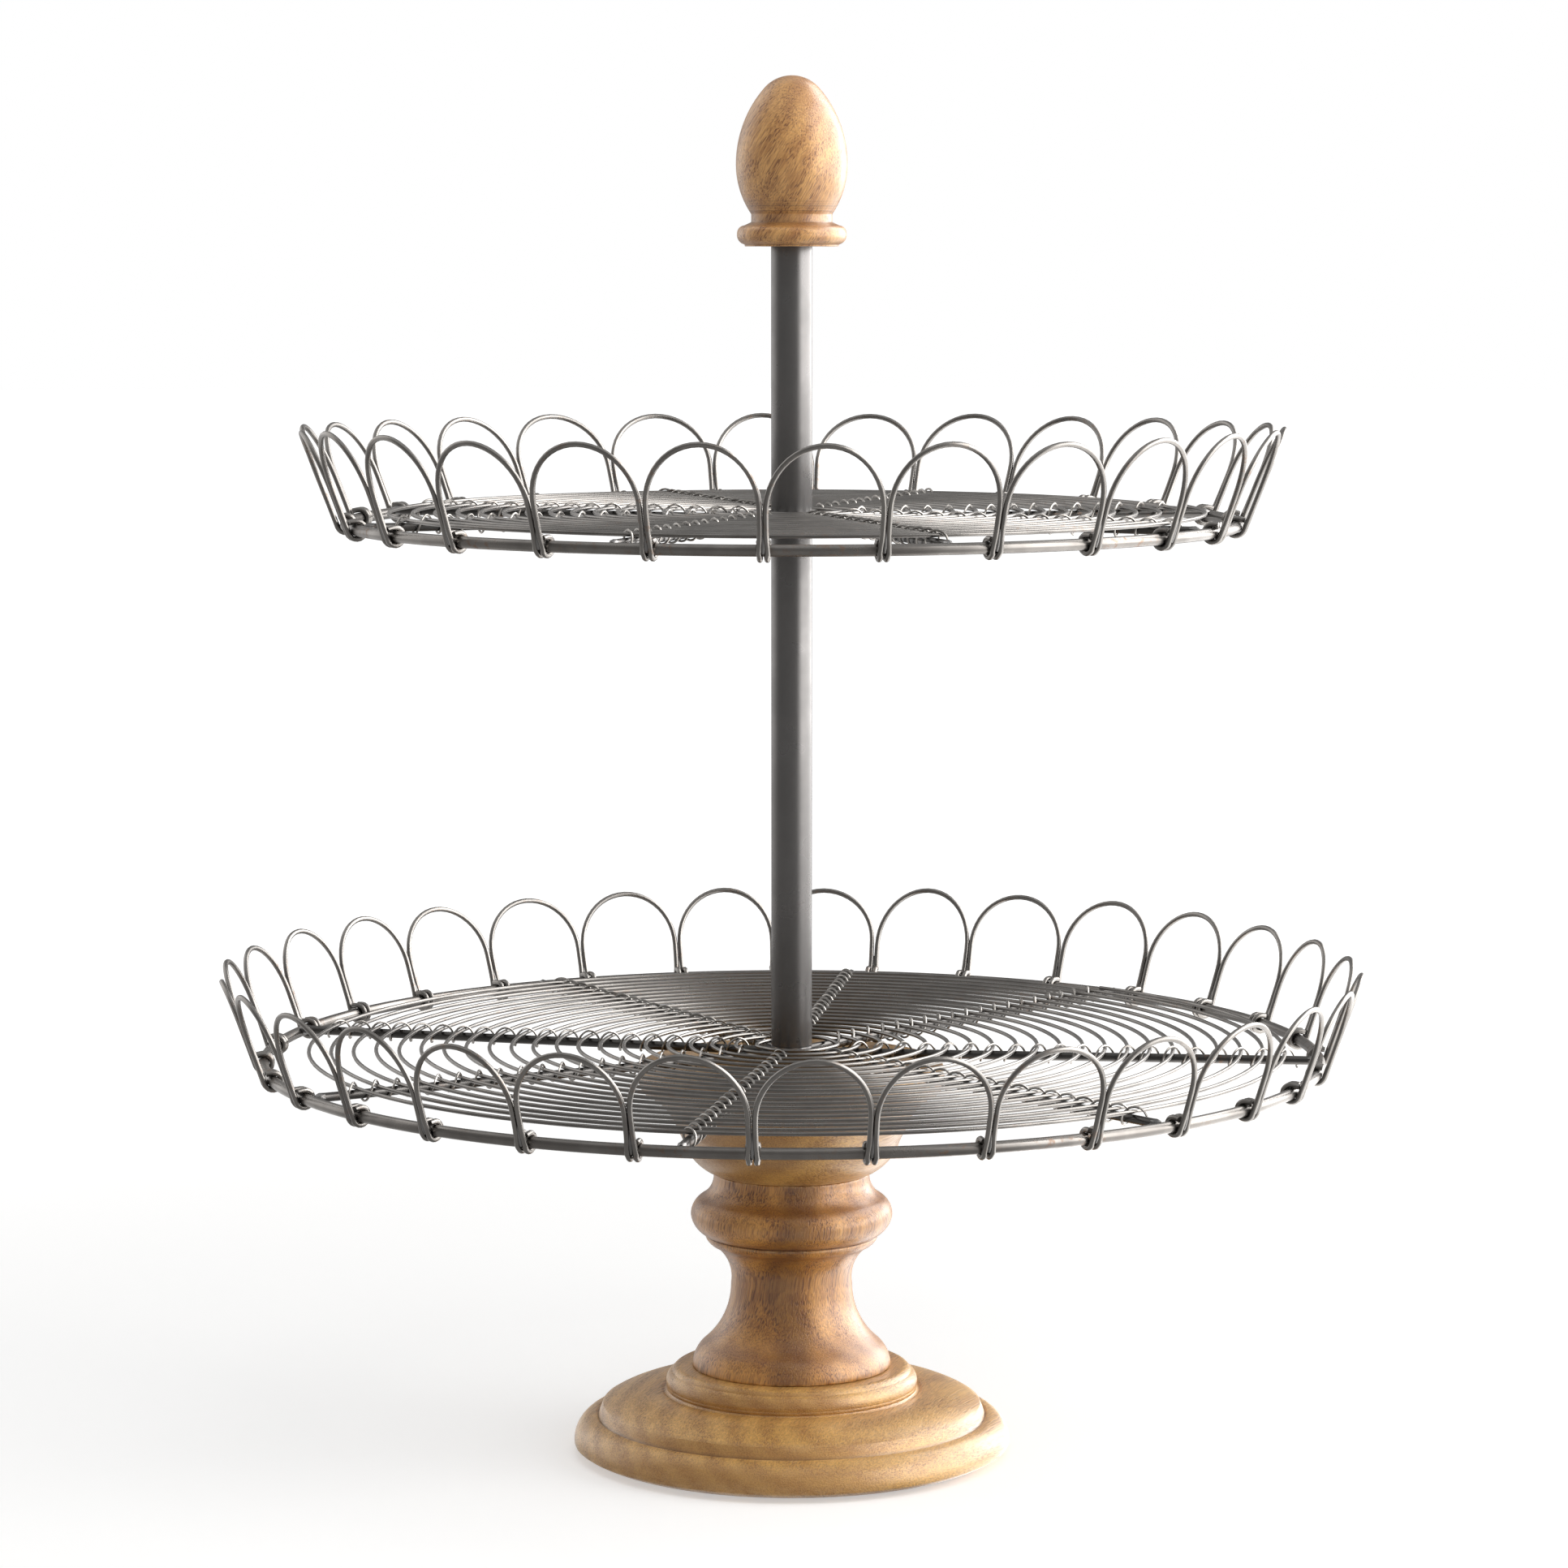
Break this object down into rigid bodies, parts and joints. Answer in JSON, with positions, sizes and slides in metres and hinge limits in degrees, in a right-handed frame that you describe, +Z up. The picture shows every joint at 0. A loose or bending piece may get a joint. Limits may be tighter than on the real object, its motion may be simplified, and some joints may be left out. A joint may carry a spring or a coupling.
{
  "type": "tiered wire serving stand",
  "caption": "Tiered wire serving stand: round trays of wound wire with looped wire edges, on a screwed steel post with a turned wooden pedestal and an egg finial.",
  "frame": {"origin": "on the floor under the middle of the foot", "axes": "+Z up along the post; -Y towards the camera of the picture, +X to its right"},
  "size_m": [0.4475, 0.4476, 0.541],
  "materials": {
    "pale_wood": "turned and waxed",
    "dark_wood": "turned and waxed",
    "tray_wire": "bare drawn wire, soldered",
    "post_steel": "dark burnished tube",
    "zinc_steel": "zinc plated",
    "brass": "machined"
  },
  "bodies": {
    "pedestal": {"foot": "pale_wood", "column": "dark_wood", "capital": "pale_wood", "tie_rod": "zinc_steel", "base_washer": "zinc_steel", "base_nut": "zinc_steel"},
    "lower_tray": {"lower_hub": "tray_wire", "lower_rim": "tray_wire", "lower_ring_wire": "tray_wire", "lower_spoke_1": "tray_wire", "lower_spoke_2": "tray_wire", "lower_spoke_3": "tray_wire", "lower_spoke_4": "tray_wire", "lower_spoke_5": "tray_wire", "lower_spoke_6": "tray_wire", "lower_spoke_7": "tray_wire", "lower_spoke_8": "tray_wire", "lower_binding_wires": "tray_wire", "lower_petals": "tray_wire"},
    "lower_post_turn": {"lower_post_washer": "zinc_steel"},
    "lower_post": {"lower_post": "post_steel", "lower_post_bottom_plug": "zinc_steel", "lower_post_top_plug": "zinc_steel", "middle_stud": "zinc_steel"},
    "upper_tray": {"upper_hub": "tray_wire", "upper_rim": "tray_wire", "upper_ring_wire": "tray_wire", "upper_spoke_1": "tray_wire", "upper_spoke_2": "tray_wire", "upper_spoke_3": "tray_wire", "upper_spoke_4": "tray_wire", "upper_spoke_5": "tray_wire", "upper_spoke_6": "tray_wire", "upper_spoke_7": "tray_wire", "upper_spoke_8": "tray_wire", "upper_binding_wires": "tray_wire", "upper_petals": "tray_wire"},
    "upper_post_turn": {"upper_post_washer": "zinc_steel"},
    "upper_post": {"upper_post": "post_steel", "upper_post_bottom_plug": "zinc_steel", "upper_post_top_plug": "zinc_steel"},
    "finial_turn": {"finial_washer": "zinc_steel"},
    "finial": {"finial": "pale_wood", "finial_insert": "brass", "finial_stud": "zinc_steel"}
  },
  "joints": [
    {"name": "lower_tray_swivel", "type": "hinge", "parent": "pedestal", "child": "lower_tray", "pos_m": [0, 0, 0.15595], "axis": [0, 0, 1], "continuous": true},
    {"name": "lower_post_unscrew", "type": "hinge", "parent": "pedestal", "child": "lower_post_turn", "pos_m": [0, 0, 0.16175], "axis": [0, 0, 1], "range_deg": [0, 2880]},
    {"name": "lower_post_rise", "type": "slide", "parent": "lower_post_turn", "child": "lower_post", "axis": [0, 0, 1], "range_m": [0, 0.01]},
    {"name": "upper_tray_swivel", "type": "hinge", "parent": "lower_post", "child": "upper_tray", "pos_m": [0, 0, 0.36595], "axis": [0, 0, 1], "continuous": true},
    {"name": "upper_post_unscrew", "type": "hinge", "parent": "lower_post", "child": "upper_post_turn", "pos_m": [0, 0, 0.37175], "axis": [0, 0, 1], "range_deg": [0, 2880]},
    {"name": "upper_post_rise", "type": "slide", "parent": "upper_post_turn", "child": "upper_post", "axis": [0, 0, 1], "range_m": [0, 0.01]},
    {"name": "finial_unscrew", "type": "hinge", "parent": "upper_post", "child": "finial_turn", "pos_m": [0, 0, 0.4774], "axis": [0, 0, 1], "range_deg": [0, 2880]},
    {"name": "finial_rise", "type": "slide", "parent": "finial_turn", "child": "finial", "axis": [0, 0, 1], "range_m": [0, 0.01]}
  ],
  "couplings": [
    {"joint": "lower_post_unscrew", "follows": "lower_post_rise", "rad_per_m": 5026.5},
    {"joint": "upper_post_unscrew", "follows": "upper_post_rise", "rad_per_m": 5026.5},
    {"joint": "finial_unscrew", "follows": "finial_rise", "rad_per_m": 5026.5}
  ]
}
